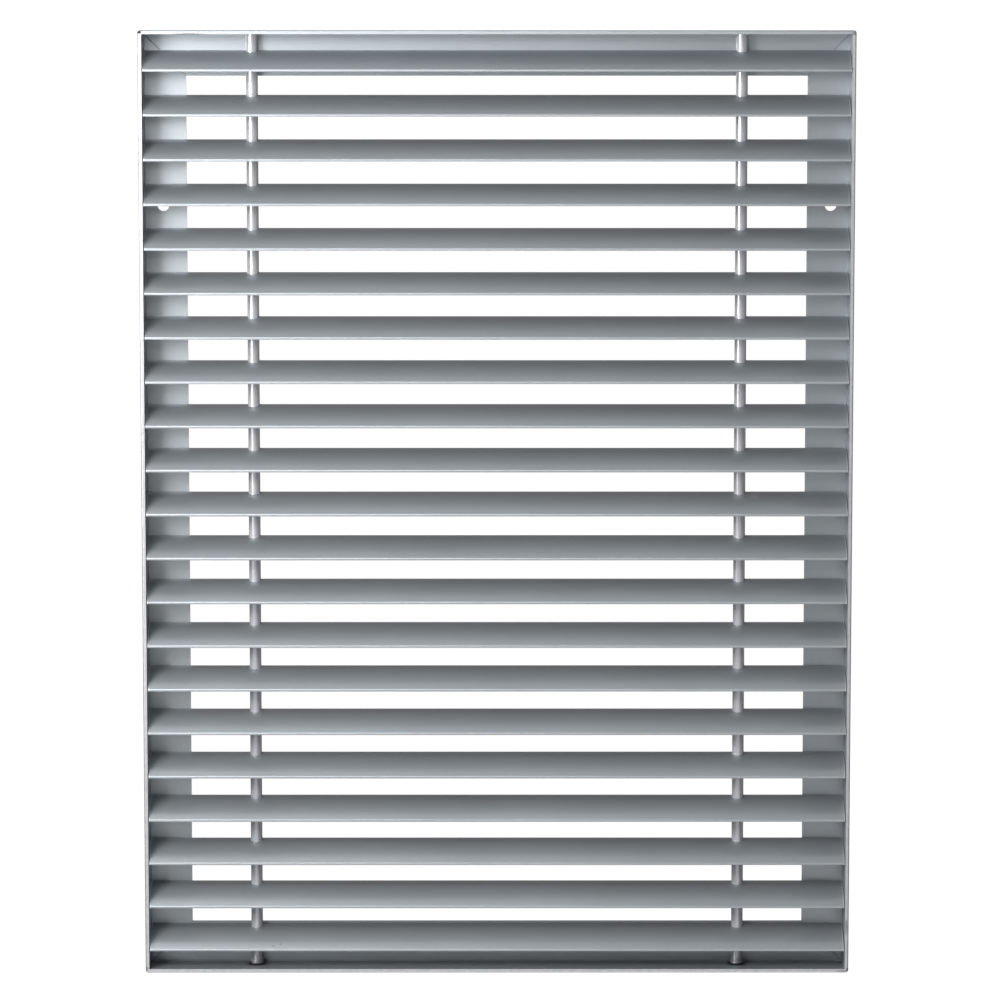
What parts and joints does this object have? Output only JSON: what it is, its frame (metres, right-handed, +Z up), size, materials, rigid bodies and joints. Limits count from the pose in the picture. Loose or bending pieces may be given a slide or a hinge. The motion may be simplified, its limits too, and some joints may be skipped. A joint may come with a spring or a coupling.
{
  "type": "ventilation grille",
  "caption": "Rectangular ventilation grille without a face border: curved horizontal slats carried on two upright rods inside a mitred frame with a narrow rear flange.",
  "frame": {"origin": "centre of the rectangle of four fixing holes, on the rear face of the flange", "axes": "+Z up along the rods, +X along the slats, +Y out of the rear face into the wall; the front faces -Y"},
  "size_m": [0.3, 0.018, 0.4],
  "materials": {
    "frame": "satin anodised",
    "slat": "satin anodised",
    "rod": "drawn, lightly scored"
  },
  "bodies": {
    "root": {"frame_top": "frame", "frame_bottom": "frame", "frame_left": "frame", "frame_right": "frame", "slat_01": "slat", "slat_02": "slat", "slat_03": "slat", "slat_04": "slat", "slat_05": "slat", "slat_06": "slat", "slat_07": "slat", "slat_08": "slat", "slat_09": "slat", "slat_10": "slat", "slat_11": "slat", "slat_12": "slat", "slat_13": "slat", "slat_14": "slat", "slat_15": "slat", "slat_16": "slat", "slat_17": "slat", "slat_18": "slat", "slat_19": "slat", "slat_20": "slat", "slat_21": "slat", "rod_left": "rod", "rod_right": "rod"}
  },
  "joints": []
}
